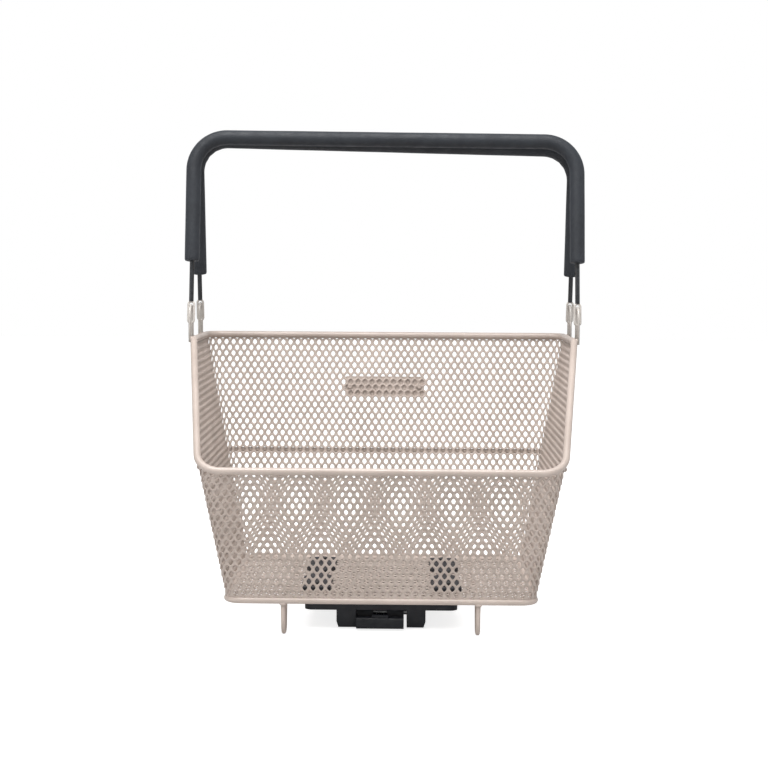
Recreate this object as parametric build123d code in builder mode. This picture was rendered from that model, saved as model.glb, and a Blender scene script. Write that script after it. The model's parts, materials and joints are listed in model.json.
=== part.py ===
"""Bicycle basket with a low front, two folding carrying handles and a rack adapter.

Millimetres, +Z up. The origin is on the ground, under the middle of the basket.
-Y is the low front, +X is the right side seen from the front.
"""
import math
import os

from build123d import *

os.makedirs("parts", exist_ok=True)

# ---- driving sizes: the basket body ----
ring_width = 313.0  # between the long-side centrelines of the base ring
ring_depth = 234.0
ring_front_y = -120.5
ring_z = 37.0
ring_wire_r = 3.2
rim_width = 410.0  # between the side bars of the rim, centre to centre
rim_z = 293.3
rim_back_y = 140.5
rim_front_y = -140.5
rim_front_z = 170.7
rim_bend_y = 12.5  # where the side bars turn down towards the low front
rim_wire_r = 3.75
rim_front_corner_r = 25.0
rim_bend_r = 20.0
wall_corner_r = 16.0
seam_past_corner = 2.0  # the front and back sheets reach this far round onto the sides
mesh_thickness = 1.4
sheet_edge_drop = 2.0  # the walls' top edges end this far below the rim's centreline, inside its wire
floor_lift = 1.0  # from the ring's centre up to the underside of the floor
wall_floor_gap = 0.2  # between the floor's top and the walls' lower edges
outline_margin = 60.0  # how far the cutting outlines reach past the walls
girdle_wire_r = 2.5
girdle_gap = 0.15
girdle_back_z = 160.6
girdle_end_z = 170.0
girdle_end_y = -104.0

# ---- driving sizes: feet ----
foot_x = 98.5
foot_wire_r = 2.3
foot_top_span = 33.0
foot_bottom_span = 15.0
foot_weld = 0.4
foot_bend_r = 7.0

# ---- driving sizes: handles ----
front_pivot_y = 28.5
rear_pivot_y = 110.5
pivot_above_rim = 25.3  # from the rim's centreline up to the hinge line
staple_wire_r = 1.4
staple_arch_r = 11.0
staple_tail = 3.3  # how far the legs reach below the rim's centreline
weld_sink = 0.15
eye_wire_r = 1.2
eye_half_width = 3.1
eye_above_pivot = 15.2
eye_below_pivot = 8.1
handle_wire_r = 2.5
front_handle_height = 197.3  # from the hinge line to the crossbar's left end
rear_handle_height = 195.5
handle_corner_r = 36.0
grip_r = 8.25
front_grip_start = 60.0  # from the hinge line to the lower end of the foam
rear_grip_start = 45.0
grip_gap = 0.6  # left between the two foam tops when both stand up
grip_clearance = 0.05
front_handle_drop = 3.1  # the right end of the crossbar hangs this much lower
rear_handle_drop = 8.8

# ---- driving sizes: name plate ----
plate_width = 91.0
plate_height = 23.3
plate_thickness = 1.2
plate_z = 234.2
plate_corner_r = 2.0
plate_rivet_x = 40.0
rivet_r = 1.5
rivet_head_r = 3.0
rivet_head_height = 1.2
rivet_head_taper = 30.0

# ---- driving sizes: rack adapter ----
adapter_y = 2.0
adapter_width = 158.0
adapter_length = 170.0
adapter_corner_r = 8.0
seat_z = 19.7  # the underside that rests on the rack's tubes
flange_thickness = 7.0
tray_wall = 3.0
tray_floor = 2.5
tray_rib = 2.4
housing_width = 92.0
housing_bottom_z = 1.8
housing_rear_y = 80.0
housing_chamfer = 2.0
housing_chamfer_height = 6.0
hollow_length = 90.0  # the two hollows in the housing's underside
hollow_width = 36.5
hollow_top_wall = 2.4
slot_rear_y = -17.0  # behind the lever's open gap, a slot runs this far back
slot_top_z = 9.2
rack_tube_r = 5.0
rack_tube_clearance = 0.1
front_tube_y = -62.0
rear_tube_y = 68.0
screw_x = 67.5
screw_y = 68.0
screw_r = 2.5
screw_clearance = 0.3
screw_head_r = 5.0
screw_head_height = 3.0
screw_head_edge_r = 1.2
screw_end_recess = 0.5  # the screws stop this far above the seat
screw_socket_across = 3.0
screw_socket_depth = 1.8
boss_r = 9.0
nut_across = 8.0
nut_height = 4.0
counter_width = 31.0
counter_waist = 7.0
counter_waist_length = 9.0
counter_shoulder = 26.0  # from the plate's middle to where it is wide again
counter_corner_r = 3.0
counter_edge_r = 1.0
counter_thickness = 4.0

# ---- driving sizes: release lever ----
lever_left_x = -25.5
lever_width = 49.0
lever_side_gap = 0.3
lever_open_gap = 3.0  # the wide gap on the lever's right side
lever_pivot_y = -72.5
lever_pivot_z = 15.5
lever_hub_r = 3.8
lever_lip_reach = 10.0
lever_lip_height = 11.0
lever_lift = 0.5
lever_catch = 3.5  # how far the tooth reaches under the rack's tube
tooth_clearance = 0.3
tooth_height = 2.5
tooth_root = 5.0  # the tooth's slope, from the lever's underside to its tip
lip_thickness = 4.0
lip_edge = 1.0  # the bevels along the lip
lip_gap = 1.2  # between the lip's step and the plate's front edge
lever_post_width = 17.0
lever_post_depth = 5.0
lever_post_height = 6.5
lever_post_gap = 2.2  # from the plate's front edge, so that the lifted post passes it
pin_r = 2.0
pin_length = 86.0
pin_press = 0.02
pin_running = 0.1
spring_wire_r = 0.5
spring_turns = 4
spring_gap_width = 14.0
spring_end_gap = 2.0
coil_gap = 0.4

# ---- sizes worked out from the driving sizes ----
ring_back_y = ring_front_y + ring_depth
wall_rise = rim_z - ring_z
side_slope = (rim_width - ring_width) / 2 / wall_rise
front_slope = (ring_front_y - rim_front_y) / (rim_front_z - ring_z)
back_slope = (rim_back_y - ring_back_y) / wall_rise
rim_top_front_y = ring_front_y - front_slope * wall_rise
half_sheet = mesh_thickness / 2
floor_z = ring_z + floor_lift
floor_top_z = floor_z + mesh_thickness


def wall_x(z):
    """Half width of the walls' middle surface at height z."""
    return ring_width / 2 + side_slope * (z - ring_z)


def wall_back_y(z):
    """Where the back wall's middle surface is at height z."""
    return ring_back_y + back_slope * (z - ring_z)


# ---- base ring: the closed wire round the floor ----
with BuildPart() as base_ring:
    with BuildLine(Plane.XY.offset(ring_z)) as ring_path:
        corner = [
            (ring_width / 2, ring_front_y),
            (ring_width / 2, ring_back_y),
            (-ring_width / 2, ring_back_y),
            (-ring_width / 2, ring_front_y),
        ]
        FilletPolyline(*corner, radius=wall_corner_r, close=True)
    with BuildSketch(Plane(origin=ring_path.line @ 0, z_dir=ring_path.line % 0)):
        Circle(ring_wire_r)
    sweep(path=ring_path.line)
base_ring.part.label = "base_ring"

# ---- rim: one thick wire, high at the back, sloping down to the low front ----
with BuildPart() as rim_wire:
    with BuildLine() as rim_path:
        front_x = wall_x(rim_front_z)
        top_x = wall_x(rim_z)
        FilletPolyline(
            (front_x, rim_front_y, rim_front_z),
            (top_x, rim_bend_y, rim_z),
            (top_x, rim_back_y, rim_z),
            (-top_x, rim_back_y, rim_z),
            (-top_x, rim_bend_y, rim_z),
            (-front_x, rim_front_y, rim_front_z),
            radius=[rim_front_corner_r, rim_bend_r, wall_corner_r,
                    wall_corner_r, rim_bend_r, rim_front_corner_r],
            close=True,
        )
    with BuildSketch(Plane(origin=rim_path.line @ 0, z_dir=rim_path.line % 0)):
        Circle(rim_wire_r)
    sweep(path=rim_path.line)
rim_wire.part.label = "rim_wire"

# ---- girdle wire: a U round the outside of the back and the sides ----
girdle_off = half_sheet + girdle_wire_r + girdle_gap
with BuildPart() as girdle_wire:
    with BuildLine() as girdle_path:
        end_x = wall_x(girdle_end_z) + girdle_off
        back_x = wall_x(girdle_back_z) + girdle_off
        back_y = wall_back_y(girdle_back_z) + girdle_off
        FilletPolyline(
            (end_x, girdle_end_y, girdle_end_z),
            (back_x, back_y, girdle_back_z),
            (-back_x, back_y, girdle_back_z),
            (-end_x, girdle_end_y, girdle_end_z),
            radius=wall_corner_r + girdle_off,
        )
    with BuildSketch(Plane(origin=girdle_path.line @ 0, z_dir=girdle_path.line % 0)):
        Circle(girdle_wire_r)
    sweep(path=girdle_path.line)
girdle_wire.part.label = "girdle_wire"


# ---- expanded-metal walls: one flared shell, trimmed along the rim, cut at the corners ----
def wall_section(z, grow):
    """Rounded rectangle of the walls at height z, grown outwards by grow."""
    y_low = ring_front_y - front_slope * (z - ring_z) - grow
    y_high = wall_back_y(z) + grow
    with BuildSketch(Plane.XY.offset(z)) as section:
        with Locations((0, (y_low + y_high) / 2)):
            RectangleRounded(2 * (wall_x(z) + grow), y_high - y_low, wall_corner_r + grow)
    return section.sketch


def make_wall_shell():
    with BuildPart() as shell:
        loft([wall_section(ring_z, half_sheet), wall_section(rim_z, half_sheet)])
        loft(
            [wall_section(ring_z, -half_sheet), wall_section(rim_z, -half_sheet)],
            mode=Mode.SUBTRACT,
        )
        edge_z = rim_z - sheet_edge_drop
        front_edge_z = rim_front_z - sheet_edge_drop
        below_rim = [
            (rim_front_y - outline_margin, floor_top_z + wall_floor_gap),
            (rim_back_y + outline_margin, floor_top_z + wall_floor_gap),
            (rim_back_y + outline_margin, edge_z),
            (rim_bend_y, edge_z),
            (rim_front_y, front_edge_z),
            (rim_front_y - outline_margin, front_edge_z),
        ]
        with BuildSketch(Plane.YZ):
            with BuildLine():
                Polyline(*below_rim, close=True)
            make_face()
        extrude(amount=rim_width, both=True, mode=Mode.INTERSECT)
    return shell.part


wall_shell = make_wall_shell()
seam_front_low = ring_front_y + wall_corner_r + seam_past_corner
seam_front_high = rim_top_front_y + wall_corner_r + seam_past_corner
seam_back_low = ring_back_y - wall_corner_r - seam_past_corner
seam_back_high = rim_back_y - wall_corner_r - seam_past_corner


def make_wall_panel(label, outline, x_low=-rim_width, x_high=rim_width):
    """The part of the wall shell inside a YZ outline, between two X limits."""
    with BuildPart() as panel:
        add(wall_shell)
        with BuildSketch(Plane.YZ.offset(x_low)):
            with BuildLine():
                Polyline(*outline, close=True)
            make_face()
        extrude(amount=x_high - x_low, mode=Mode.INTERSECT)
    panel.part.label = label
    return panel.part


front_outline = [
    (rim_top_front_y - outline_margin, ring_z), (seam_front_low, ring_z),
    (seam_front_high, rim_z), (rim_top_front_y - outline_margin, rim_z),
]
side_outline = [
    (seam_front_low, ring_z), (seam_back_low, ring_z),
    (seam_back_high, rim_z), (seam_front_high, rim_z),
]
back_outline = [
    (seam_back_low, ring_z), (rim_back_y + outline_margin, ring_z),
    (rim_back_y + outline_margin, rim_z), (seam_back_high, rim_z),
]
front_mesh = make_wall_panel("front_mesh", front_outline)
left_mesh = make_wall_panel("left_mesh", side_outline, x_high=0)
right_mesh = make_wall_panel("right_mesh", side_outline, x_low=0)

# ---- name plate and its two rivets, on the outside of the back wall ----
back_lean = math.degrees(math.atan(back_slope))
plate_origin = (0, wall_back_y(plate_z), plate_z)
plate_plane = Plane(
    origin=plate_origin,
    x_dir=(-1, 0, 0),
    z_dir=(0, math.cos(math.radians(back_lean)), -math.sin(math.radians(back_lean))),
)
with BuildPart() as name_plate:
    with BuildSketch(plate_plane.offset(half_sheet)):
        RectangleRounded(plate_width, plate_height, plate_corner_r)
        with GridLocations(2 * plate_rivet_x, 1, 2, 1):
            Circle(rivet_r, mode=Mode.SUBTRACT)
    extrude(amount=plate_thickness)
name_plate.part.label = "name_plate"

with BuildPart() as plate_rivets:
    rivet_foot = -half_sheet
    rivet_seat = half_sheet + plate_thickness
    with BuildSketch(plate_plane.offset(rivet_foot)):
        with GridLocations(2 * plate_rivet_x, 1, 2, 1):
            Circle(rivet_r)
    extrude(amount=rivet_seat - rivet_foot)
    for level, way in ((rivet_seat, 1), (rivet_foot, -1)):
        with BuildSketch(plate_plane.offset(level)):
            with GridLocations(2 * plate_rivet_x, 1, 2, 1):
                Circle(rivet_head_r)
        extrude(amount=way * rivet_head_height, taper=rivet_head_taper)
plate_rivets.part.label = "plate_rivets"

with BuildPart() as back_mesh:
    add(make_wall_panel("back_mesh", back_outline))
    add(plate_rivets.part, mode=Mode.SUBTRACT)
back_mesh.part.label = "back_mesh"

# ---- rack adapter: places of its screws ----
screw_spots = [
    (x, adapter_y + y) for x in (-screw_x, screw_x) for y in (-screw_y, screw_y)
]

# ---- floor: a flat sheet inside the base ring, with the four screw holes ----
with BuildPart() as floor_mesh:
    with BuildSketch(Plane.XY.offset(floor_z)):
        with Locations((0, (ring_front_y + ring_back_y) / 2)):
            RectangleRounded(ring_width, ring_depth, wall_corner_r)
        with Locations(*screw_spots):
            Circle(screw_r + screw_clearance, mode=Mode.SUBTRACT)
    extrude(amount=mesh_thickness)
floor_mesh.part.label = "floor_mesh"


# ---- runners: one bent wire on each side, under the floor, that makes the feet ----
def make_runner(label, x):
    run_z = floor_z - foot_wire_r
    leg_top_z = ring_z - ring_wire_r + foot_weld
    low_z = foot_wire_r
    spread = (foot_top_span - foot_bottom_span) / 2
    front_y = ring_front_y
    rear_y = ring_back_y
    with BuildPart() as runner:
        with BuildLine(Plane.YZ.offset(x)) as runner_path:
            FilletPolyline(
                (front_y, leg_top_z),
                (front_y + spread, low_z),
                (front_y + spread + foot_bottom_span, low_z),
                (front_y + foot_top_span, run_z),
                (rear_y - foot_top_span, run_z),
                (rear_y - spread - foot_bottom_span, low_z),
                (rear_y - spread, low_z),
                (rear_y, leg_top_z),
                radius=foot_bend_r,
            )
        with BuildSketch(Plane(origin=runner_path.line @ 0, z_dir=runner_path.line % 0)):
            Circle(foot_wire_r)
        sweep(path=runner_path.line)
    runner.part.label = label
    return runner.part


left_runner = make_runner("left_runner", -foot_x)
right_runner = make_runner("right_runner", foot_x)

# ---- staples: an upright wire arch for each end of each handle ----
pivot_z = rim_z + pivot_above_rim
staple_x = rim_width / 2 + rim_wire_r + staple_wire_r - weld_sink


def make_staple(label, x, y):
    foot_z = rim_z - staple_tail
    with BuildPart() as staple:
        with BuildLine(Plane.YZ.offset(x)) as staple_path:
            leg = Line((y - staple_arch_r, foot_z), (y - staple_arch_r, pivot_z))
            arch = ThreePointArc(
                leg @ 1, (y, pivot_z + staple_arch_r), (y + staple_arch_r, pivot_z)
            )
            Line(arch @ 1, (y + staple_arch_r, foot_z))
        with BuildSketch(Plane(origin=staple_path.line @ 0, z_dir=staple_path.line % 0)):
            Circle(staple_wire_r)
        sweep(path=staple_path.line)
    staple.part.label = label
    return staple.part


staples = [
    make_staple(f"{row}_{side}_staple", sign * staple_x, pivot_y)
    for row, pivot_y in (("front", front_pivot_y), ("rear", rear_pivot_y))
    for side, sign in (("left", -1), ("right", 1))
]

# ---- handles: each leans inwards until the two foam tops almost touch ----
half_spread = (rear_pivot_y - front_pivot_y) / 2


def handle_lean(height):
    """How far a handle of this height leans inwards before its foam meets the other's."""
    return math.asin((half_spread - grip_r - grip_gap / 2) / height)


def handle_plane(pivot_y, inward, height):
    """Plane of a handle: X across the basket, Y up along the leaning legs."""
    lean = handle_lean(height)
    return Plane(
        origin=(0, pivot_y, pivot_z),
        x_dir=(1, 0, 0),
        z_dir=(0, -math.cos(lean), inward * math.sin(lean)),
    )


def make_handle(row, pivot_y, inward, height, drop, grip_start):
    """The bent wire, the foam sleeve and the two eyes of one handle."""
    plane = handle_plane(pivot_y, inward, height)

    def legs_from(start):
        return [
            (-staple_x, start),
            (-staple_x, height),
            (staple_x, height - drop),
            (staple_x, start),
        ]

    eyes = []
    for side, sign in (("left", -1), ("right", 1)):
        middle = (eye_above_pivot - eye_below_pivot) / 2
        straight = eye_above_pivot + eye_below_pivot - 2 * eye_half_width
        with BuildPart() as eye:
            with BuildLine(plane) as eye_path:
                x = sign * staple_x
                right = Line(
                    (x + eye_half_width, middle - straight / 2),
                    (x + eye_half_width, middle + straight / 2),
                )
                top = ThreePointArc(
                    right @ 1, (x, eye_above_pivot), (x - eye_half_width, middle + straight / 2)
                )
                left = Line(top @ 1, (x - eye_half_width, middle - straight / 2))
                ThreePointArc(left @ 1, (x, -eye_below_pivot), right @ 0)
            with BuildSketch(Plane(origin=eye_path.line @ 0, z_dir=eye_path.line % 0)):
                Circle(eye_wire_r)
            sweep(path=eye_path.line)
        eye.part.label = f"{row}_{side}_eye"
        eyes.append(eye.part)

    with BuildPart() as wire:
        with BuildLine(plane) as wire_path:
            FilletPolyline(*legs_from(eye_above_pivot), radius=handle_corner_r)
        with BuildSketch(Plane(origin=wire_path.line @ 0, z_dir=wire_path.line % 0)):
            Circle(handle_wire_r)
        sweep(path=wire_path.line)
        for eye_part in eyes:
            add(eye_part, mode=Mode.SUBTRACT)
    wire.part.label = f"{row}_handle_wire"

    with BuildPart() as grip:
        with BuildLine(plane) as grip_path:
            FilletPolyline(*legs_from(grip_start), radius=handle_corner_r)
        with BuildSketch(Plane(origin=grip_path.line @ 0, z_dir=grip_path.line % 0)):
            Circle(grip_r)
            Circle(handle_wire_r + grip_clearance, mode=Mode.SUBTRACT)
        sweep(path=grip_path.line)
    grip.part.label = f"{row}_grip"
    return [wire.part, grip.part] + eyes


front_handle = make_handle(
    "front", front_pivot_y, 1, front_handle_height, front_handle_drop, front_grip_start
)
rear_handle = make_handle(
    "rear", rear_pivot_y, -1, rear_handle_height, rear_handle_drop, rear_grip_start
)

# ---- adapter tray: the ribbed spacer between the floor and the latch housing ----
tray_z = seat_z + flange_thickness
tray_height = floor_z - tray_z
with BuildPart() as adapter_tray:
    with BuildSketch(Plane.XY.offset(tray_z)):
        with Locations((0, adapter_y)):
            RectangleRounded(adapter_width, adapter_length, adapter_corner_r)
    extrude(amount=tray_height)
    with BuildSketch(Plane.XY.offset(tray_z + tray_floor)):
        with Locations((0, adapter_y)):
            RectangleRounded(
                adapter_width - 2 * tray_wall,
                adapter_length - 2 * tray_wall,
                adapter_corner_r - tray_wall,
            )
    extrude(amount=tray_height - tray_floor, mode=Mode.SUBTRACT)
    with BuildSketch(Plane.XY.offset(tray_z)):
        with Locations((0, adapter_y)):
            with GridLocations(housing_width / 2, 1, 3, 1):
                Rectangle(tray_rib, adapter_length - tray_wall)
            with GridLocations(1, housing_width / 2, 1, 3):
                Rectangle(adapter_width - tray_wall, tray_rib)
        with Locations(*screw_spots):
            Circle(boss_r)
    extrude(amount=tray_height)
    with BuildSketch(Plane.XY.offset(tray_z)):
        with Locations(*screw_spots):
            Circle(screw_r + screw_clearance)
    extrude(amount=tray_height, mode=Mode.SUBTRACT)
adapter_tray.part.label = "adapter_tray"

# ---- latch housing: a flange on the rack's tubes, a block between them ----
tube_axis_z = seat_z - rack_tube_r - rack_tube_clearance
tube_seat_r = rack_tube_r + rack_tube_clearance
adapter_front_y = adapter_y - adapter_length / 2
housing_rear = adapter_y + housing_rear_y
lever_right_x = lever_left_x + lever_width
pivot_y_world = adapter_y + lever_pivot_y
with BuildPart() as latch_housing:
    with BuildSketch(Plane.XY.offset(seat_z)):
        with Locations((0, adapter_y)):
            RectangleRounded(adapter_width, adapter_length, adapter_corner_r)
    extrude(amount=flange_thickness)
    with BuildSketch(Plane.XZ.offset(-housing_rear)):
        half = housing_width / 2
        with BuildLine():
            Polyline(
                (-half, tray_z),
                (-half, housing_bottom_z + housing_chamfer_height),
                (-half + housing_chamfer, housing_bottom_z),
                (half - housing_chamfer, housing_bottom_z),
                (half, housing_bottom_z + housing_chamfer_height),
                (half, tray_z),
                close=True,
            )
        make_face()
    extrude(amount=housing_rear - adapter_front_y)
    # the saddle over the rack's front cross tube, open downwards
    with BuildSketch(Plane.YZ.offset(-half)):
        with Locations((adapter_y + front_tube_y, tube_axis_z)):
            Circle(tube_seat_r)
        with Locations((adapter_y + front_tube_y, 0)):
            Rectangle(2 * tube_seat_r, tube_axis_z, align=(Align.CENTER, Align.MIN))
    extrude(amount=housing_width, mode=Mode.SUBTRACT)
    # the hook under the rack's rear cross tube, open backwards
    with BuildSketch(Plane.YZ.offset(-half)):
        with Locations((adapter_y + rear_tube_y, tube_axis_z)):
            Circle(tube_seat_r)
            Rectangle(housing_rear_y, 2 * tube_seat_r, align=(Align.MIN, Align.CENTER))
    extrude(amount=housing_width, mode=Mode.SUBTRACT)
    # the channel for the release lever, from the front edge to the saddle
    channel_left = lever_left_x - lever_side_gap
    channel_right = lever_right_x + lever_open_gap
    with BuildSketch(Plane.XY):
        with Locations((channel_left, adapter_front_y)):
            Rectangle(
                channel_right - channel_left,
                adapter_y + front_tube_y - adapter_front_y,
                align=(Align.MIN, Align.MIN),
            )
    extrude(amount=seat_z, mode=Mode.SUBTRACT)
    # the rear hollow between the flanks, open downwards
    with BuildSketch(Plane.XY):
        with Locations((0, adapter_y)):
            with GridLocations(housing_width / 2, 1, 2, 1):
                Rectangle(hollow_width, hollow_length)
    extrude(amount=seat_z - hollow_top_wall, mode=Mode.SUBTRACT)
    # the slot that carries on behind the lever's open gap, under the tube seats
    with BuildSketch(Plane.XY):
        with Locations((lever_right_x, adapter_front_y)):
            Rectangle(
                lever_open_gap,
                slot_rear_y - adapter_front_y,
                align=(Align.MIN, Align.MIN),
            )
    extrude(amount=slot_top_z, mode=Mode.SUBTRACT)
    # the bore for the lever's pin
    with BuildSketch(Plane.YZ.offset(-half)):
        with Locations((pivot_y_world, lever_pivot_z)):
            Circle(pin_r + pin_press)
    extrude(amount=housing_width, mode=Mode.SUBTRACT)
    # the screw holes, with a hexagonal pocket for each nut
    with BuildSketch(Plane.XY.offset(seat_z)):
        with Locations(*screw_spots):
            Circle(screw_r + screw_clearance)
    extrude(amount=flange_thickness, mode=Mode.SUBTRACT)
    with BuildSketch(Plane.XY.offset(seat_z)):
        with Locations(*screw_spots):
            RegularPolygon(nut_across / 2 + screw_clearance, 6, major_radius=False)
    extrude(amount=nut_height + screw_clearance, mode=Mode.SUBTRACT)
latch_housing.part.label = "latch_housing"

# ---- release lever: a finger lip in front, a tooth under the front cross tube ----
tooth_top_z = tube_axis_z - rack_tube_r - tooth_clearance
tooth_tip_y = adapter_y + front_tube_y - rack_tube_r + lever_catch
lip_front_y = adapter_front_y - lever_lip_reach
lever_bottom_z = housing_bottom_z + lever_lift
lip_top_z = lever_bottom_z + lever_lip_height
with BuildPart() as release_lever:
    with BuildSketch(Plane.YZ.offset(lever_left_x)):
        with BuildLine():
            Polyline(
                (lip_front_y, lever_bottom_z + lip_edge),
                (lip_front_y + lip_edge, lever_bottom_z),
                (tooth_tip_y - tooth_root, lever_bottom_z),
                (tooth_tip_y, tooth_top_z - tooth_height),
                (tooth_tip_y, tooth_top_z),
                (tooth_tip_y - lever_catch - lip_edge, tooth_top_z),
                (pivot_y_world + lever_hub_r, tooth_top_z + 2 * lip_edge),
                (pivot_y_world + lever_hub_r, lever_pivot_z),
                (pivot_y_world - lever_hub_r, lever_pivot_z),
                (pivot_y_world - lever_hub_r - lip_edge, lip_top_z - lip_thickness),
                (adapter_front_y - lip_edge, lip_top_z - lip_thickness),
                (adapter_front_y - lip_gap, lip_top_z),
                (lip_front_y + lip_edge, lip_top_z),
                (lip_front_y, lip_top_z - lip_edge),
                close=True,
            )
        make_face()
        with Locations((pivot_y_world, lever_pivot_z)):
            Circle(lever_hub_r)
    extrude(amount=lever_width)
    # the post in the middle of the lip
    lever_middle = lever_left_x + lever_width / 2
    with BuildSketch(Plane.XY.offset(lip_top_z - lip_thickness)):
        with Locations((lever_middle, adapter_front_y - lever_post_gap)):
            Rectangle(lever_post_width, lever_post_depth, align=(Align.CENTER, Align.MAX))
    extrude(amount=lever_post_height)
    # the gap for the spring's coils
    with BuildSketch(Plane.YZ.offset(lever_middle - spring_gap_width / 2)):
        with Locations((pivot_y_world, lever_pivot_z)):
            Rectangle(2 * lever_hub_r + lip_edge, 2 * lever_hub_r + lip_edge)
    extrude(amount=spring_gap_width, mode=Mode.SUBTRACT)
    with BuildSketch(Plane.YZ.offset(lever_left_x)):
        with Locations((pivot_y_world, lever_pivot_z)):
            Circle(pin_r + pin_running)
    extrude(amount=lever_width, mode=Mode.SUBTRACT)
release_lever.part.label = "release_lever"

with BuildPart() as lever_pin:
    with BuildSketch(Plane.YZ.offset(-pin_length / 2)):
        with Locations((pivot_y_world, lever_pivot_z)):
            Circle(pin_r)
    extrude(amount=pin_length)
lever_pin.part.label = "lever_pin"

# ---- lever spring: coils round the pin, in the lever's gap ----
coil_r = pin_r + spring_wire_r + coil_gap
coil_length = spring_gap_width - 2 * spring_end_gap
with BuildPart() as lever_spring:
    with BuildLine() as coil_path:
        Helix(
            coil_length / spring_turns,
            coil_length,
            coil_r,
            center=(lever_middle - coil_length / 2, pivot_y_world, lever_pivot_z),
            direction=(1, 0, 0),
        )
    with BuildSketch(Plane(origin=coil_path.line @ 0, z_dir=coil_path.line % 0)):
        Circle(spring_wire_r)
    sweep(path=coil_path.line, is_frenet=True)
lever_spring.part.label = "lever_spring"


# ---- counter plates: hourglass plates inside the basket, over the floor ----
def make_counter_plate(label, x):
    half_length = adapter_length / 2
    wide = counter_width / 2
    narrow = counter_waist / 2
    shoulder = counter_shoulder
    neck = counter_waist_length / 2
    with BuildPart() as plate:
        with BuildSketch(Plane.XY.offset(floor_top_z)):
            with BuildLine():
                Polyline(
                    (x - wide, adapter_y - half_length), (x + wide, adapter_y - half_length),
                    (x + wide, adapter_y - shoulder), (x + narrow, adapter_y - neck),
                    (x + narrow, adapter_y + neck), (x + wide, adapter_y + shoulder),
                    (x + wide, adapter_y + half_length), (x - wide, adapter_y + half_length),
                    (x - wide, adapter_y + shoulder), (x - narrow, adapter_y + neck),
                    (x - narrow, adapter_y - neck), (x - wide, adapter_y - shoulder),
                    close=True,
                )
            make_face()
        extrude(amount=counter_thickness)
        fillet(plate.edges().filter_by(Axis.Z), radius=counter_corner_r)
        fillet(plate.faces().sort_by(Axis.Z)[-1].edges(), radius=counter_edge_r)
        with BuildSketch(Plane.XY.offset(floor_top_z)):
            with Locations((x, adapter_y - screw_y), (x, adapter_y + screw_y)):
                Circle(screw_r + screw_clearance)
        extrude(amount=counter_thickness, mode=Mode.SUBTRACT)
    plate.part.label = label
    return plate.part


left_counter_plate = make_counter_plate("left_counter_plate", -screw_x)
right_counter_plate = make_counter_plate("right_counter_plate", screw_x)

# ---- clamp screws and nuts: hold plate, floor, tray and housing together ----
screw_head_z = floor_top_z + counter_thickness
with BuildPart() as clamp_screws:
    with BuildSketch(Plane.XY.offset(seat_z + screw_end_recess)):
        with Locations(*screw_spots):
            Circle(screw_r)
    extrude(amount=screw_head_z - seat_z - screw_end_recess)
    with BuildSketch(Plane.XY.offset(screw_head_z)):
        with Locations(*screw_spots):
            Circle(screw_head_r)
    extrude(amount=screw_head_height)
    head_tops = clamp_screws.faces().filter_by(Plane.XY).group_by(Axis.Z)[-1]
    fillet(head_tops.edges(), radius=screw_head_edge_r)
    with BuildSketch(Plane.XY.offset(screw_head_z + screw_head_height)):
        with Locations(*screw_spots):
            RegularPolygon(screw_socket_across / 2, 6, major_radius=False)
    extrude(amount=-screw_socket_depth, mode=Mode.SUBTRACT)
clamp_screws.part.label = "clamp_screws"

with BuildPart() as clamp_nuts:
    with BuildSketch(Plane.XY.offset(seat_z + screw_clearance)):
        with Locations(*screw_spots):
            RegularPolygon(nut_across / 2, 6, major_radius=False)
            Circle(screw_r, mode=Mode.SUBTRACT)
    extrude(amount=nut_height)
clamp_nuts.part.label = "clamp_nuts"

# ---- every piece goes to its own file ----
pieces = [
    base_ring.part, rim_wire.part, girdle_wire.part,
    front_mesh, back_mesh.part, left_mesh, right_mesh, floor_mesh.part,
    name_plate.part, plate_rivets.part, left_runner, right_runner,
    adapter_tray.part, latch_housing.part, release_lever.part,
    lever_pin.part, lever_spring.part, left_counter_plate, right_counter_plate,
    clamp_screws.part, clamp_nuts.part,
]
for piece in pieces + staples + front_handle + rear_handle:
    export_step(piece, f"parts/{piece.label}.step")
print("front handle leans", round(math.degrees(handle_lean(front_handle_height)), 2), "degrees")
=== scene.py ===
"""The bicycle basket: expanded-metal walls, wires, folding handles and rack adapter."""
import json
import math

import bmesh
import bpy
from mathutils import Matrix, Vector


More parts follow.
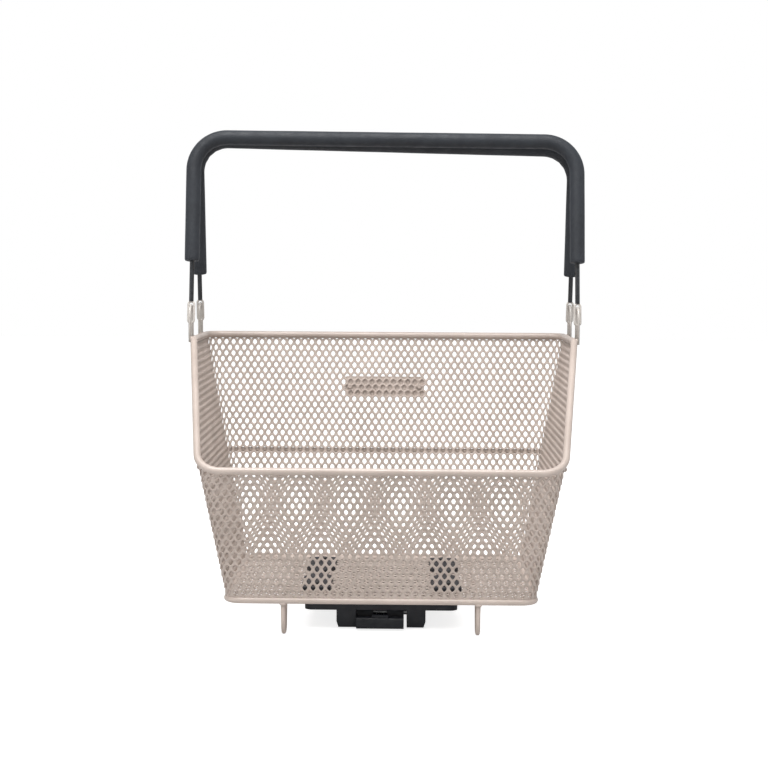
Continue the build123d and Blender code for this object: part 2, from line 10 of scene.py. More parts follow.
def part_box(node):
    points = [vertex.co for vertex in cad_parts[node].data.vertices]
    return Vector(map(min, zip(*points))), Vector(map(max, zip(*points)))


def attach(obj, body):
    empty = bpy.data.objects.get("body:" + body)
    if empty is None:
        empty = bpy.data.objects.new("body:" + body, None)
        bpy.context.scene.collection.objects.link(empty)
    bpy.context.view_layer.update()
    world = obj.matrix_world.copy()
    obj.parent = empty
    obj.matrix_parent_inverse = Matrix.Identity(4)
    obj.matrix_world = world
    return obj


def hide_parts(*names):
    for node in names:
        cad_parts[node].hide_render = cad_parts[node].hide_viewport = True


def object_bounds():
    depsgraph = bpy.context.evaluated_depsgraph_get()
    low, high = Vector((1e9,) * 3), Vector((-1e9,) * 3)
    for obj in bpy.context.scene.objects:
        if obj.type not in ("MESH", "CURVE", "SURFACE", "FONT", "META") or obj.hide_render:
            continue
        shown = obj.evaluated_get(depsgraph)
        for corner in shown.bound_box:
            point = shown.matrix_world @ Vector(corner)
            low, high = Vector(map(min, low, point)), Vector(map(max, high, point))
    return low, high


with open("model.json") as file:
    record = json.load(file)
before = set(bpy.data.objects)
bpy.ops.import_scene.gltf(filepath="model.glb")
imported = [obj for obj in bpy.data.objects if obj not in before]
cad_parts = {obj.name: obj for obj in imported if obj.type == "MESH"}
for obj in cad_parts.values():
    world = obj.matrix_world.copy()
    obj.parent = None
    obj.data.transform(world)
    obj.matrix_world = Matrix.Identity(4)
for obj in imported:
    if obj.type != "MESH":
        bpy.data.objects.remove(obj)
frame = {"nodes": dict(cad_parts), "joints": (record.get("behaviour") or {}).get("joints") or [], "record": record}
cad_low, cad_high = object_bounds()

# ---- base ring, rim and girdle wire ----
# Round steel wires bent to closed loops and a U, butt-welded, then powder-coated in one
# satin rose-beige with the rest of the basket. They carry the sheets' edges.

merge_distance = 1e-6
crease_angle = math.radians(38)
flat_angle = math.radians(0.6)


def new_finish(name, roughness, specular=0.5):
    """An opaque material: itself, its node tree, its shader and its Object coordinates."""
    finish = bpy.data.materials.new(name)
    finish.use_nodes = True
    tree = finish.node_tree
    shader = tree.nodes["Principled BSDF"]
    shader.inputs["Roughness"].default_value = roughness
    shader.inputs["Specular IOR Level"].default_value = specular
    coords = tree.nodes.new("ShaderNodeTexCoord").outputs["Object"]
    return finish, tree, shader, coords


def grain(tree, coords, size, detail=3.0):
    """Noise whose spots are about size metres across."""
    noise = tree.nodes.new("ShaderNodeTexNoise")
    noise.inputs["Scale"].default_value = 1 / size
    noise.inputs["Detail"].default_value = detail
    tree.links.new(coords, noise.inputs["Vector"])
    return noise.outputs["Fac"]


def tone(tree, factor, dark, light, start=0.35, end=0.65):
    """A colour that goes from dark to light as factor goes from start to end."""
    ramp = tree.nodes.new("ShaderNodeValToRGB")
    first, last = ramp.color_ramp.elements
    first.position, first.color = start, (*dark, 1)
    last.position, last.color = end, (*light, 1)
    tree.links.new(factor, ramp.inputs["Fac"])
    return ramp.outputs["Color"]


def level(tree, factor, low, high, start=0.35, end=0.65):
    """A number that goes from low to high as factor goes from start to end."""
    spread = tree.nodes.new("ShaderNodeMapRange")
    spread.inputs["From Min"].default_value = start
    spread.inputs["From Max"].default_value = end
    spread.inputs["To Min"].default_value = low
    spread.inputs["To Max"].default_value = high
    tree.links.new(factor, spread.inputs["Value"])
    return spread.outputs["Result"]


def blend_colours(tree, factor, below, above):
    """The colour below, covered by the colour above where factor is one."""
    mix = tree.nodes.new("ShaderNodeMix")
    mix.data_type = "RGBA"
    tree.links.new(factor, mix.inputs["Factor"])
    tree.links.new(below, mix.inputs["A"])
    tree.links.new(above, mix.inputs["B"])
    return mix.outputs["Result"]


def relief(tree, shader, height, depth, strength=1.0):
    """Surface relief of depth metres from a height between 0 and 1."""
    bump = tree.nodes.new("ShaderNodeBump")
    bump.inputs["Distance"].default_value = depth
    bump.inputs["Strength"].default_value = strength
    tree.links.new(height, bump.inputs["Height"])
    tree.links.new(bump.outputs["Normal"], shader.inputs["Normal"])


def uneven_gloss(tree, shader, coords, size, shiny, dull):
    """Roughness that wanders from shiny to dull in spots about size metres across."""
    gloss = level(tree, grain(tree, coords, size), shiny, dull)
    tree.links.new(gloss, shader.inputs["Roughness"])


def powder_coat(name, dark, light, gloss):
    """Satin powder coat: cloudy tone, orange peel and a thin clear skin."""
    finish, tree, shader, coords = new_finish(name, gloss)
    cloud = tone(tree, grain(tree, coords, 0.045, 4), dark, light)
    pigment = tone(tree, grain(tree, coords, 0.0011, 2), dark, light, 0.3, 0.75)
    fleck = level(tree, grain(tree, coords, 0.0035, 2), 0.1, 0.5)
    tree.links.new(blend_colours(tree, fleck, cloud, pigment), shader.inputs["Base Color"])
    uneven_gloss(tree, shader, coords, 0.012, gloss - 0.07, gloss + 0.09)
    shader.inputs["Coat Weight"].default_value = 0.25
    shader.inputs["Coat Roughness"].default_value = 0.22
    relief(tree, shader, grain(tree, coords, 0.0009, 2), 0.00005, 0.5)
    return finish


def finished_copy(node, name, body, finish, edge=0.0):
    """A merged, smooth-shaded copy of a made part, its sharp edges eased by edge metres."""
    bm = bmesh.new()
    bm.from_mesh(frame["nodes"][node].data)
    bmesh.ops.remove_doubles(bm, verts=bm.verts, dist=merge_distance)
    if edge:
        bmesh.ops.dissolve_limit(bm, angle_limit=flat_angle, verts=bm.verts, edges=bm.edges)
    piece = put_together(bm, name, body, finish)
    if edge:
        ease = piece.modifiers.new("eased_edges", "BEVEL")
        ease.width = edge
        ease.segments = 2
        ease.limit_method = "ANGLE"
        ease.angle_limit = crease_angle
        ease.harden_normals = True
    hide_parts(node)
    return piece


def put_together(bm, name, body, finish):
    """Ends a bmesh as a smooth-shaded piece that rides on body."""
    mesh = bpy.data.meshes.new(name)
    bm.to_mesh(mesh)
    bm.free()
    mesh.shade_smooth()
    mesh.set_sharp_from_angle(angle=crease_angle)
    mesh.materials.append(finish)
    piece = bpy.data.objects.new(name, mesh)
    bpy.context.collection.objects.link(piece)
    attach(piece, body)
    return piece


wire_paint = powder_coat("wire_powder_coat", (0.45, 0.375, 0.33), (0.54, 0.455, 0.405), 0.36)
for node in ("base_ring", "rim_wire", "girdle_wire"):
    finished_copy(node, f"coated_{node}", "basket", wire_paint)

# ---- expanded-metal floor and walls ----
# Thin steel sheet, slit and stretched into rows of rounded diamonds whose strands stand
# askew. Each panel is cut to its outline, bent round the corners and welded to the wires.

hole_pitch = 0.00825
row_rise = 0.0065
bond_half_height = 0.0019  # half of the upright side that two neighbours in a row share
hole_half_width = 0.0025
hole_half_height = 0.0034
hole_corner_power = 1.25  # 1 is an ellipse, 2 is a sharp diamond
hole_sides = 12
row_merge_distance = 1e-5
strand_thickness = 0.0010
strand_tilt = 0.0008  # how far the edges of a hole stand out of the sheet's middle
corner_r = 0.016
seam_past_corner = 0.002
rim_bend_y = 0.0125
edge_below_rim = 0.002  # the walls end inside the rim wire
edge_above_ring = 0.001

mesh_paint = powder_coat("mesh_powder_coat", (0.45, 0.375, 0.33), (0.54, 0.455, 0.405), 0.44)


def copy_of(bm, geometry, shift):
    """A moved copy of some geometry: its vertices and its edges."""
    made = bmesh.ops.duplicate(bm, geom=geometry)["geom"]
    verts = [part for part in made if isinstance(part, bmesh.types.BMVert)]
    bmesh.ops.translate(bm, verts=verts, vec=shift)
    return verts, [part for part in made if isinstance(part, bmesh.types.BMEdge)]


def all_of(bm):
    return bm.verts[:] + bm.edges[:] + bm.faces[:]


def one_opening(bm, tilt):
    """The strands round one hole: a brick-bond hexagon with a rounded diamond cut in it."""
    bond = bmesh.ops.create_circle(bm, radius=1, segments=hole_sides)["verts"]
    hole = bmesh.ops.create_circle(bm, radius=1, segments=hole_sides)["verts"]
    outline = [
        (hole_pitch / 2, 0),
        (hole_pitch / 2, bond_half_height),
        (hole_pitch / 4, row_rise / 2),
        (0, row_rise - bond_half_height),
    ]
    quarter_steps = len(outline) - 1
    for vert in bond:
        turn = math.asin(min(abs(vert.co.y), 1)) / (math.pi / 2)
        x, y = outline[round(turn * quarter_steps)]
        vert.co = (math.copysign(x, vert.co.x), math.copysign(y, vert.co.y), 0)
    for vert in hole:
        right, up = vert.co.x, vert.co.y
        x = hole_half_width * abs(right) ** hole_corner_power
        y = hole_half_height * abs(up) ** hole_corner_power
        vert.co = (math.copysign(x, right), math.copysign(y, up), -tilt * up)
    bmesh.ops.bridge_loops(bm, edges=bm.edges)


def stretched_sheet(width, height, first_row, tilt):
    """A flat field of strands: X across, Y up from a solid hem, Z out of the basket."""
    bm = bmesh.new()
    one_opening(bm, tilt)
    opening = all_of(bm)
    columns = math.ceil(width / hole_pitch) + 2
    for column in range(1, columns):
        copy_of(bm, opening, (column * hole_pitch, 0, 0))
    bmesh.ops.remove_doubles(bm, verts=bm.verts, dist=merge_distance)
    row = all_of(bm)
    hem, hem_edges = copy_of(bm, row, (hole_pitch / 2, -row_rise, 0))
    bmesh.ops.holes_fill(bm, edges=hem_edges, sides=hole_sides)
    for vert in hem:
        vert.co.z = 0
    for step in range(1, math.ceil((height - first_row) / row_rise) + 2):
        copy_of(bm, row, (step % 2 * hole_pitch / 2, step * row_rise, 0))
    middle = (columns - 0.5) * hole_pitch / 2
    bmesh.ops.translate(bm, verts=bm.verts, vec=(-middle, first_row, 0))
    bmesh.ops.remove_doubles(bm, verts=bm.verts, dist=row_merge_distance)
    bmesh.ops.recalc_face_normals(bm, faces=bm.faces)
    bm.normal_update()
    if sum(face.normal.z for face in bm.faces) < 0:
        bmesh.ops.reverse_faces(bm, faces=bm.faces)
    return bm


def trim(bm, start, end):
    """Cuts off what lies on the right of the line from start to end, seen from outside."""
    along = Vector(end) - Vector(start)
    bmesh.ops.bisect_plane(
        bm, geom=all_of(bm), plane_co=(*start, 0), plane_no=(along.y, -along.x, 0),
        clear_outer=True,
    )


def sheet_piece(bm, name, node):
    """Gives a trimmed and bent sheet its thickness."""
    piece = put_together(bm, name, "basket", mesh_paint)
    wall = piece.modifiers.new("strand_thickness", "SOLIDIFY")
    wall.thickness = strand_thickness
    wall.offset = 0
    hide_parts(node)
    return piece


ring_low, ring_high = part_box("base_ring")
rim_low, rim_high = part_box("rim_wire")
ring_wire_r = (ring_high.z - ring_low.z) / 2
rim_wire_r = 0.00375
ring_z = ring_low.z + ring_wire_r
ring_half_width = ring_high.x - ring_wire_r
rim_z = rim_high.z - rim_wire_r
rim_half_width = rim_high.x - rim_wire_r
low_rim_z = rim_low.z + rim_wire_r
side_slope = (rim_half_width - ring_half_width) / (rim_z - ring_z)
front_out = -ring_low.y - ring_wire_r
front_slope = (-rim_low.y - rim_wire_r - front_out) / (low_rim_z - ring_z)
back_out = ring_high.y - ring_wire_r
back_slope = (rim_high.y - rim_wire_r - back_out) / (rim_z - ring_z)
lowest_row_lift = 0.0073
first_hole_z = ring_z + lowest_row_lift  # the middle of the lowest row of holes


def half_width(z):
    return ring_half_width + side_slope * (z - ring_z)


def flared_wall(name, node, across, out, foot_out, slope, corners, outline):
    """A wall from its outline of (distance across, height) points, bent and leaned outwards."""
    widest = max(abs(u) for u, z in outline)
    tallest = max(z for u, z in outline) - foot_z
    bm = stretched_sheet(2 * widest, tallest, first_hole_z - foot_z, strand_tilt)
    for here, there in zip(outline, outline[1:] + outline[:1]):
        trim(bm, (here[0], here[1] - foot_z), (there[0], there[1] - foot_z))
    for vert in bm.verts:
        u, z, lift = vert.co.x, foot_z + vert.co.y, vert.co.z
        side = math.copysign(1, u)
        flat_part = half_width(z) - corner_r if corners else widest
        round_part = max(abs(u) - flat_part, 0)
        turn = min(round_part / corner_r, math.pi / 2)
        past = round_part - turn * corner_r
        u_place = side * (min(abs(u), flat_part) + corner_r * math.sin(turn))
        out_place = foot_out + slope * (z - ring_z) - corner_r * (1 - math.cos(turn)) - past
        lean = slope * math.cos(turn) ** 2 + side_slope * math.sin(turn) ** 2
        normal = out * math.cos(turn) + across * side * math.sin(turn) - Vector((0, 0, lean))
        place = across * u_place + out * out_place + Vector((0, 0, z))
        vert.co = place + normal.normalized() * lift
    bmesh.ops.bisect_plane(
        bm, geom=all_of(bm), plane_co=(0, rim_bend_y, head_z),
        plane_no=(0, low_head_z - head_z, rim_bend_y - rim_front_y), clear_outer=True,
    )
    sheet_piece(bm, name, node)


def symmetrical_outline(top_z):
    """A front or back sheet: it reaches round both corners and a little past them."""
    low, high = (
        half_width(z) - corner_r + corner_r * math.pi / 2 + seam_past_corner
        for z in (foot_z, top_z)
    )
    return [(-low, foot_z), (low, foot_z), (high, top_z), (-high, top_z)]


def seam_y(out, slope, z):
    """How far a side sheet reaches towards the front or the back at height z."""
    return out + slope * (z - ring_z) - corner_r - seam_past_corner


left_to_right = Vector((1, 0, 0))
front_to_back = Vector((0, 1, 0))
rim_front_y = rim_low.y + rim_wire_r
foot_z = ring_z + edge_above_ring
head_z = rim_z - edge_below_rim
low_head_z = low_rim_z - edge_below_rim
front_corner_top_z = low_head_z + corner_r + seam_past_corner
front_foot, front_head = (-seam_y(front_out, front_slope, z) for z in (foot_z, head_z))
back_foot, back_head = (seam_y(back_out, back_slope, z) for z in (foot_z, head_z))

flared_wall(
    "front_expanded_mesh", "front_mesh", left_to_right, -front_to_back,
    front_out, front_slope, True, symmetrical_outline(front_corner_top_z),
)
flared_wall(
    "back_expanded_mesh", "back_mesh", -left_to_right, front_to_back,
    back_out, back_slope, True, symmetrical_outline(head_z),
)
flared_wall(
    "right_expanded_mesh", "right_mesh", front_to_back, left_to_right,
    ring_half_width, side_slope, False,
    [(front_foot, foot_z), (back_foot, foot_z), (back_head, head_z), (front_head, head_z)],
)
flared_wall(
    "left_expanded_mesh", "left_mesh", -front_to_back, -left_to_right,
    ring_half_width, side_slope, False,
    [(-back_foot, foot_z), (-front_foot, foot_z), (-front_head, head_z), (-back_head, head_z)],
)

# The floor lies flat on the ring's inside, its corners cut to follow the ring's bends.
floor_low, floor_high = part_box("floor_mesh")
floor_middle_y = (floor_low.y + floor_high.y) / 2
floor_half_depth = (floor_high.y - floor_low.y) / 2
floor_hem = 0.004  # solid metal in front of the first row of holes
floor_sheet = stretched_sheet(
    2 * ring_half_width, 2 * floor_half_depth, hole_half_height + floor_hem, 0
)
bmesh.ops.translate(floor_sheet, verts=floor_sheet.verts, vec=(0, -floor_half_depth, 0))
corner_steps = 4
floor_outline = []
for quarter, (side, end) in enumerate(((1, -1), (1, 1), (-1, 1), (-1, -1))):
    centre = Vector((side * (ring_half_width - corner_r), end * (floor_half_depth - corner_r)))
    for step in range(corner_steps + 1):
        turn = math.pi / 2 * (quarter - 1 + step / corner_steps)
        floor_outline.append(centre + corner_r * Vector((math.cos(turn), math.sin(turn))))
for here, there in zip(floor_outline, floor_outline[1:] + floor_outline[:1]):
    trim(floor_sheet, here, there)
floor_level = (floor_low.z + floor_high.z) / 2
bmesh.ops.translate(floor_sheet, verts=floor_sheet.verts, vec=(0, floor_middle_y, floor_level))
sheet_piece(floor_sheet, "floor_expanded_mesh", "floor_mesh")

# ---- name plate ----
# A pressed steel plate on the outside of the back wall, held by two rivets and painted
# with the basket. Its face is left blank, with a raised border.

plate_border = 0.0016
plate_recess = 0.0004
plate_face_depth = 0.0022  # the outer face lies within this of the plate's rearmost point
plate_back_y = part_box("name_plate")[1].y
faces_back = 0.9  # how far the normal of a face that counts as outer points backwards
plate = finished_copy(
    "name_plate", "blank_name_plate", "basket", mesh_paint, edge=0.00025
)
plate_mesh = bmesh.new()
plate_mesh.from_mesh(plate.data)
facing_back = [
    face for face in plate_mesh.faces
    if face.normal.y > faces_back and face.calc_center_median().y > plate_back_y - plate_face_depth
]
bmesh.ops.inset_region(
    plate_mesh, faces=facing_back, thickness=plate_border, depth=-plate_recess
)
plate_mesh.to_mesh(plate.data)
plate_mesh.free()
finished_copy(
    "plate_rivets", "painted_plate_rivets", "basket", wire_paint, edge=0.0002
)

# ---- runners and weld beads ----
# Two bent wires under the floor make the four feet. Every wire end is welded, and each
# weld leaves a small lumpy bead under the paint.

runner_bead_r = 0.0034
runner_bead_lift = 0.0003  # above the lowest point of the base ring
small_bead_r = 0.0017
bead_lumps = 0.06
girdle_wire_r = 0.0025
girdle_bead_spots = (0.004, 0.06, 0.12, 0.18)  # behind the girdle's cut ends
girdle_side_length = 0.24
girdle_bead_out = 0.0018  # from the middle of the side walls
staple_bead_out = 0.0032  # from the middle of the rim wire
staple_bead_inset = 0.0014  # from the staple's two edges to the middle of its legs

for side in ("left", "right"):
    finished_copy(f"{side}_runner", f"{side}_coated_runner", "basket", wire_paint)


def bead(bm, place, size, stretch):
    """A lumpy drop of weld metal, stretched along one axis."""
    lump = bmesh.ops.create_icosphere(bm, subdivisions=3, radius=size)["verts"]
    for vert in lump:
        ripple = math.sin(vert.co.x / size * 7) * math.sin(vert.co.y / size * 6 + 1)
        vert.co *= 1 + bead_lumps * ripple
    bmesh.ops.scale(bm, verts=lump, vec=stretch)
    bmesh.ops.translate(bm, verts=lump, vec=place)


beads = bmesh.new()
runner_low, runner_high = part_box("left_runner")
foot_x = -(runner_low.x + runner_high.x) / 2
for side in (-1, 1):
    for y in (-front_out, back_out):
        bead(beads, (side * foot_x, y, ring_low.z + runner_bead_lift), runner_bead_r, (1.15, 0.95, 0.7))
girdle_low, girdle_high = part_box("girdle_wire")
girdle_end_y = girdle_low.y + girdle_wire_r
girdle_end_z = girdle_high.z - girdle_wire_r
girdle_fall = (girdle_end_z - girdle_low.z - girdle_wire_r) / girdle_side_length
girdle_bead_x = half_width(girdle_end_z) + girdle_bead_out
for side in (-1, 1):
    for back in girdle_bead_spots:
        place = (side * girdle_bead_x, girdle_end_y + back, girdle_end_z - back * girdle_fall)
        bead(beads, place, small_bead_r, (1.0, 1.7, 1.2))
for row in ("front", "rear"):
    for side_name, side in (("left", -1), ("right", 1)):
        low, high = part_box(f"{row}_{side_name}_staple")
        for y in (low.y + staple_bead_inset, high.y - staple_bead_inset):
            place = (side * (rim_half_width + staple_bead_out), y, rim_z)
            bead(beads, place, small_bead_r, (1.0, 1.2, 2.0))
bmesh.ops.recalc_face_normals(beads, faces=beads.faces)
put_together(beads, "weld_beads", "basket", wire_paint)

# ---- staples and eyes ----
# Thin wire arches welded to the rim's outside, and the wire loops that hang in them and
# end each handle. Both have a pale satin coating.

pale_coat = powder_coat("pale_wire_coat", (0.36, 0.33, 0.30), (0.62, 0.58, 0.54), 0.3)
for row in ("front", "rear"):
    for side in ("left", "right"):
        finished_copy(
            f"{row}_{side}_staple", f"{row}_{side}_pale_staple", "basket", pale_coat
        )
        finished_copy(
            f"{row}_{side}_eye", f"{row}_{side}_pale_eye", f"{row}_handle", pale_coat
        )

# ---- handle wires ----
# Each handle is one steel wire bent to a bail, dipped in glossy black plastic and welded
# to its two eyes.

dip, dip_tree, dip_shader, dip_coords = new_finish("black_plastic_dip", 0.3)
dip_tone = tone(
    dip_tree, grain(dip_tree, dip_coords, 0.006), (0.009, 0.010, 0.012), (0.020, 0.022, 0.026)
)
dip_tree.links.new(dip_tone, dip_shader.inputs["Base Color"])
uneven_gloss(dip_tree, dip_shader, dip_coords, 0.002, 0.24, 0.42)
relief(dip_tree, dip_shader, grain(dip_tree, dip_coords, 0.0025, 2), 0.0001, 0.5)
for row in ("front", "rear"):
    finished_copy(
        f"{row}_handle_wire", f"{row}_dipped_handle_wire", f"{row}_handle", dip
    )

# ---- foam grips ----
# Extruded closed-cell foam sleeves, pushed over the handle wires from one leg to the
# other. Their skin waves a little on straights and creases inside the bends.

grip_r = 0.00825
grip_bore_r = 0.0029
grip_bore_depth = 0.006
grip_edge_r = 0.0016
grip_edge_cut = 0.29 * grip_edge_r  # where the rounded edge is halfway round
grip_gap = 0.0006
grip_sides = 40
grip_step = 0.002
front_handle_height = 0.1973  # from the hinge line to the crossbar's left end
front_handle_drop = 0.0031  # the crossbar's right end is this much lower
front_grip_start = 0.060
rear_handle_height = 0.1955
rear_handle_drop = 0.0088
rear_grip_start = 0.045
handle_corner_r = 0.036
handle_wire_r = 0.0025
handle_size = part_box("front_handle_wire")[1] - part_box("front_handle_wire")[0]
handle_half_width = handle_size.x / 2 - handle_wire_r
crease_depth = 0.0002
crease_waves = 5
skin_wave = 0.00012
short_wave_turn = 0.12  # radians per step along the sleeve
long_wave_turn = 0.05
long_wave_start = 2

foam, foam_tree, foam_shader, foam_coords = new_finish("closed_cell_foam", 0.6, 0.45)
foam_cloud = tone(
    foam_tree, grain(foam_tree, foam_coords, 0.03), (0.008, 0.010, 0.014), (0.018, 0.022, 0.029)
)
foam_pores = foam_tree.nodes.new("ShaderNodeTexVoronoi")
foam_pores.inputs["Scale"].default_value = 1400
foam_tree.links.new(foam_coords, foam_pores.inputs["Vector"])
# The pores' hollows are painted darker than the skin between them: painted shade in the recesses. The same
# distance also sets the pores' relief.
pore_depth = foam_pores.outputs["Distance"]
pore_shade_tone = tone(
    foam_tree, pore_depth, (0.006, 0.007, 0.010), (0.023, 0.027, 0.034), 0.1, 0.7
)
foam_mix = level(foam_tree, grain(foam_tree, foam_coords, 0.004), 0.3, 0.7)
foam_tree.links.new(
    blend_colours(foam_tree, foam_mix, foam_cloud, pore_shade_tone), foam_shader.inputs["Base Color"]
)
uneven_gloss(foam_tree, foam_shader, foam_coords, 0.009, 0.5, 0.66)
foam_shader.inputs["Sheen Weight"].default_value = 0.08
foam_shader.inputs["Sheen Roughness"].default_value = 0.5
foam_shader.inputs["Sheen Tint"].default_value = (0.55, 0.62, 0.75, 1)
relief(foam_tree, foam_shader, pore_depth, 0.0003, 0.6)


def sleeve_route(height, drop, start):
    """Stations on the sleeve's middle line in the handle's plane: place, heading, crease."""
    slope = math.atan2(drop, 2 * handle_half_width)
    turns = math.pi / 2 + slope, math.pi / 2 - slope
    cuts = [handle_corner_r * math.tan(turn / 2) for turn in turns]
    bar = 2 * handle_half_width / math.cos(slope) - sum(cuts)
    place, heading = Vector((-handle_half_width, start)), math.pi / 2
    for length, turn in (
        (height - start - cuts[0], 0),
        (handle_corner_r * turns[0], turns[0]),
        (bar, 0),
        (handle_corner_r * turns[1], turns[1]),
        (height - drop - start - cuts[1], 0),
    ):
        steps = round(length / grip_step)
        veer = turn / steps
        chord = 2 * handle_corner_r * math.sin(veer / 2) if turn else length / steps
        for step in range(steps):
            wave = 1 + math.sin(math.tau * crease_waves * step / steps)
            yield place, heading, math.sin(math.pi * step / steps) ** 2 * wave if turn else 0
            heading -= veer / 2
            place = place + chord * Vector((math.cos(heading), math.sin(heading)))
            heading -= veer / 2
    yield place, heading, 0


def end_rings(station, way):
    """The rings of a sleeve's open end, from inside the bore out to the rounded rim."""
    place, heading, crease = station
    inward = way * Vector((math.cos(heading), math.sin(heading)))
    rim_r = grip_r - skin_wave
    return [
        (place + inward * inset, heading, 0, radius)
        for inset, radius in (
            (grip_bore_depth, grip_bore_r),
            (0, grip_bore_r),
            (0, rim_r - grip_edge_r),
            (grip_edge_cut, rim_r - grip_edge_cut),
        )
    ]


def next_ring(verts, edges):
    """The vertices that an extrusion of a ring made, in the same order."""
    fresh = {vert for edge in edges for vert in edge.verts}
    return [
        next(edge.other_vert(vert) for edge in vert.link_edges if edge.other_vert(vert) in fresh)
        for vert in verts
    ]


def foam_sleeve(row, inward, height, drop, start):
    """One grip: a ring drawn along the handle's middle line, in the handle's leaning plane."""
    pivot = Vector(next(j for j in frame["joints"] if j["name"] == f"{row}_handle_swing")["pos_m"])
    lean = math.asin((half_spread - grip_r - grip_gap / 2) / height)
    tip = inward * math.sin(lean)
    plane = Matrix.Translation(pivot) @ Matrix((
        (1, 0, 0, 0), (0, tip, -math.cos(lean), 0), (0, math.cos(lean), tip, 0), (0, 0, 0, 1)
    ))
    route = list(sleeve_route(height, drop, start))
    body = []
    for index, station in enumerate(route):
        short_wave = math.sin(index * short_wave_turn)
        long_wave = math.sin(index * long_wave_turn + long_wave_start)
        body.append((*station, grip_r - skin_wave * (1 - short_wave * long_wave / 2)))
    stations = end_rings(route[0], 1) + body[1:-1] + end_rings(route[-1], -1)[::-1]
    bm = bmesh.new()
    verts = bmesh.ops.create_circle(bm, radius=1, segments=grip_sides, cap_ends=True)["verts"]
    shape = [vert.co.copy() for vert in verts]
    edges = bm.edges[:]
    for index, (place, heading, crease, radius) in enumerate(stations):
        if index:
            grown = bmesh.ops.extrude_edge_only(bm, edges=edges)["geom"]
            edges = [
                part for part in grown if isinstance(part, bmesh.types.BMEdge) and part.is_boundary
            ]
            verts = next_ring(verts, edges)
        for vert, corner in zip(verts, shape):
            reach = radius - crease * crease_depth * max(-corner.x, 0)
            across = Vector((-math.sin(heading), math.cos(heading))) * corner.x * reach
            vert.co = plane @ Vector((*(place + across), corner.y * reach))
    bmesh.ops.contextual_create(bm, geom=edges)
    bmesh.ops.recalc_face_normals(bm, faces=bm.faces)
    sleeve = put_together(bm, f"{row}_foam_sleeve", f"{row}_handle", foam)
    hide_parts(f"{row}_grip")


front_pivot_y, rear_pivot_y = (
    next(j for j in frame["joints"] if j["name"] == f"{row}_handle_swing")["pos_m"][1]
    for row in ("front", "rear")
)
half_spread = (rear_pivot_y - front_pivot_y) / 2
foam_sleeve("front", 1, front_handle_height, front_handle_drop, front_grip_start)
foam_sleeve("rear", -1, rear_handle_height, rear_handle_drop, rear_grip_start)

# ---- rack adapter ----
# Two black moulded parts under the floor: a ribbed tray, and the latch housing that rests
# on the rack's tubes. Their edges are eased and their skin has a fine spark texture.

moulded, moulded_tree, moulded_shader, moulded_coords = new_finish("black_moulding", 0.48, 0.42)
moulded_cloud = tone(
    moulded_tree, grain(moulded_tree, moulded_coords, 0.02, 4),
    (0.006, 0.007, 0.010), (0.013, 0.015, 0.021),
)
moulded_scuff = tone(
    moulded_tree, grain(moulded_tree, moulded_coords, 0.0015, 5),
    (0.007, 0.008, 0.011), (0.022, 0.025, 0.031), 0.45, 0.8,
)
scuff_share = level(moulded_tree, grain(moulded_tree, moulded_coords, 0.007), 0.05, 0.5)
moulded_tree.links.new(
    blend_colours(moulded_tree, scuff_share, moulded_cloud, moulded_scuff),
    moulded_shader.inputs["Base Color"],
)
uneven_gloss(moulded_tree, moulded_shader, moulded_coords, 0.005, 0.4, 0.6)
relief(moulded_tree, moulded_shader, grain(moulded_tree, moulded_coords, 0.0005, 2), 0.00006, 0.7)

finished_copy("adapter_tray", "moulded_tray", "basket", moulded, edge=0.0004)
finished_copy("latch_housing", "moulded_housing", "basket", moulded, edge=0.0005)
finished_copy("release_lever", "moulded_lever", "lever", moulded, edge=0.0005)
for side in ("left", "right"):
    finished_copy(
        f"{side}_counter_plate", f"{side}_moulded_counter_plate", "basket", moulded,
        edge=0.0003,
    )

# ---- pin, spring, screws and nuts ----
# The lever's zinc-plated pin and coil spring, and four blackened socket screws with zinc
# nuts, which clamp the floor between the counter plates and the tray.


def plated_steel(name, metallic, dark, light, cloud_size, gloss, bump):
    """A thin coat on steel. gloss is spot size, shiny and dull; bump is grain size and depth."""
    finish, tree, shader, coords = new_finish(name, 0.4)
    shader.inputs["Metallic"].default_value = metallic
    cloud = tone(tree, grain(tree, coords, cloud_size, 4), dark, light)
    tree.links.new(cloud, shader.inputs["Base Color"])
    uneven_gloss(tree, shader, coords, *gloss)
    bump_size, bump_depth = bump
    relief(tree, shader, grain(tree, coords, bump_size), bump_depth, 0.4)
    return finish


zinc = plated_steel(
    "zinc_plate", 1, (0.42, 0.43, 0.45), (0.62, 0.62, 0.60), 0.003,
    gloss=(0.0012, 0.25, 0.45), bump=(0.0006, 0.00004),
)
black_steel = plated_steel(
    "blackened_steel", 0, (0.012, 0.012, 0.013), (0.030, 0.030, 0.032), 0.002,
    gloss=(0.0008, 0.32, 0.5), bump=(0.0005, 0.00003),
)
spring_body = next(
    body for body, nodes in frame["record"]["behaviour"]["bodies"].items() if "lever_spring" in nodes
)
finished_copy("lever_pin", "zinc_lever_pin", "basket", zinc, edge=0.0003)
finished_copy("clamp_nuts", "zinc_clamp_nuts", "basket", zinc, edge=0.0003)
finished_copy(
    "clamp_screws", "blackened_clamp_screws", "basket", black_steel, edge=0.0001
)
finished_copy("lever_spring", "zinc_lever_spring", spring_body, zinc)

# ---- floor, light and camera ----
# A pale studio floor under a white sky, with one large soft lamp overhead and two weak
# ones at the sides.

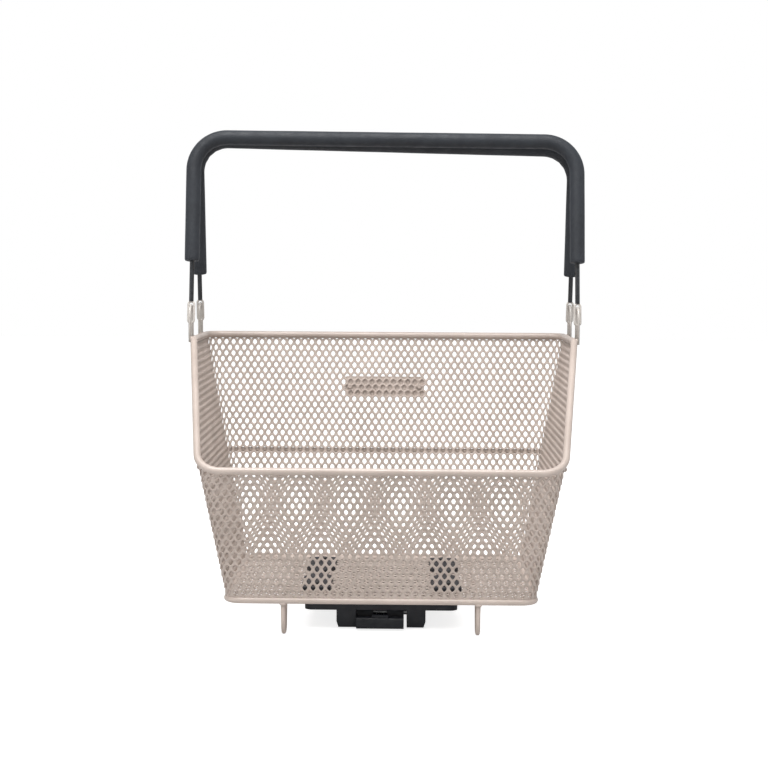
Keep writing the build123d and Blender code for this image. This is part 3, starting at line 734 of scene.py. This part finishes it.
ground_half = 6.0
sky_light = 0.52  # the sky seen by the object; the camera sees it pure white
paper_glow = 0.8  # keeps the floor that the camera sees white up to the horizon
ground_mesh = bmesh.new()
bmesh.ops.create_grid(ground_mesh, x_segments=1, y_segments=1, size=ground_half)
ground_data = bpy.data.meshes.new("studio_floor")
ground_mesh.to_mesh(ground_data)
ground_mesh.free()
ground = bpy.data.objects.new("studio_floor", ground_data)
bpy.context.collection.objects.link(ground)
paper, paper_tree, paper_shader, paper_coords = new_finish("pale_studio_paper", 0.8, 0.2)
paper_tree.links.new(
    tone(paper_tree, grain(paper_tree, paper_coords, 0.4), (0.62, 0.62, 0.62), (0.65, 0.65, 0.65)),
    paper_shader.inputs["Base Color"],
)
paper_shader.inputs["Emission Color"].default_value = (1, 1, 1, 1)
seen = paper_tree.nodes.new("ShaderNodeLightPath").outputs["Is Camera Ray"]
paper_tree.links.new(
    level(paper_tree, seen, 0, paper_glow, 0, 1), paper_shader.inputs["Emission Strength"]
)
ground_data.materials.append(paper)

world = bpy.data.worlds.new("white_studio")
world.use_nodes = True
sky_tree = world.node_tree
sky = sky_tree.nodes["Background"]
sky.inputs["Color"].default_value = (1, 1, 1, 1)
seen = sky_tree.nodes.new("ShaderNodeLightPath").outputs["Is Camera Ray"]
sky_tree.links.new(level(sky_tree, seen, sky_light, 1, 0, 1), sky.inputs["Strength"])
bpy.context.scene.world = world
bpy.context.scene.view_settings.view_transform = "Standard"


def soft_lamp(name, place, width, power):
    """A square lamp that faces the middle of the object."""
    lamp = bpy.data.lights.new(name, "AREA")
    lamp.size = width
    lamp.energy = power
    holder = bpy.data.objects.new(name, lamp)
    holder.location = place
    middle = (cad_low + cad_high) / 2
    holder.rotation_euler = (middle - Vector(place)).to_track_quat("-Z", "Y").to_euler()
    bpy.context.collection.objects.link(holder)


soft_lamp("overhead_lamp", (-0.15, -0.6, 1.8), 1.1, 36)
soft_lamp("left_lamp", (-1.6, -1.2, 1.0), 1.0, 6)
soft_lamp("right_lamp", (1.7, -0.8, 0.8), 1.0, 4)

camera_place = Vector((0.0193, -1.7176, 0.3799))
camera_turn, camera_dip, camera_roll = (math.radians(a) for a in (0.62, 4.41, 0.36))
camera = bpy.data.cameras.new("front_view")
camera.lens = 75.3
camera_holder = bpy.data.objects.new("front_view", camera)
camera_holder.matrix_world = (
    Matrix.Translation(camera_place)
    @ Matrix.Rotation(camera_turn, 4, "Z")
    @ Matrix.Rotation(math.pi / 2 - camera_dip, 4, "X")
    @ Matrix.Rotation(camera_roll, 4, "Z")
)
bpy.context.collection.objects.link(camera_holder)
bpy.context.scene.camera = camera_holder
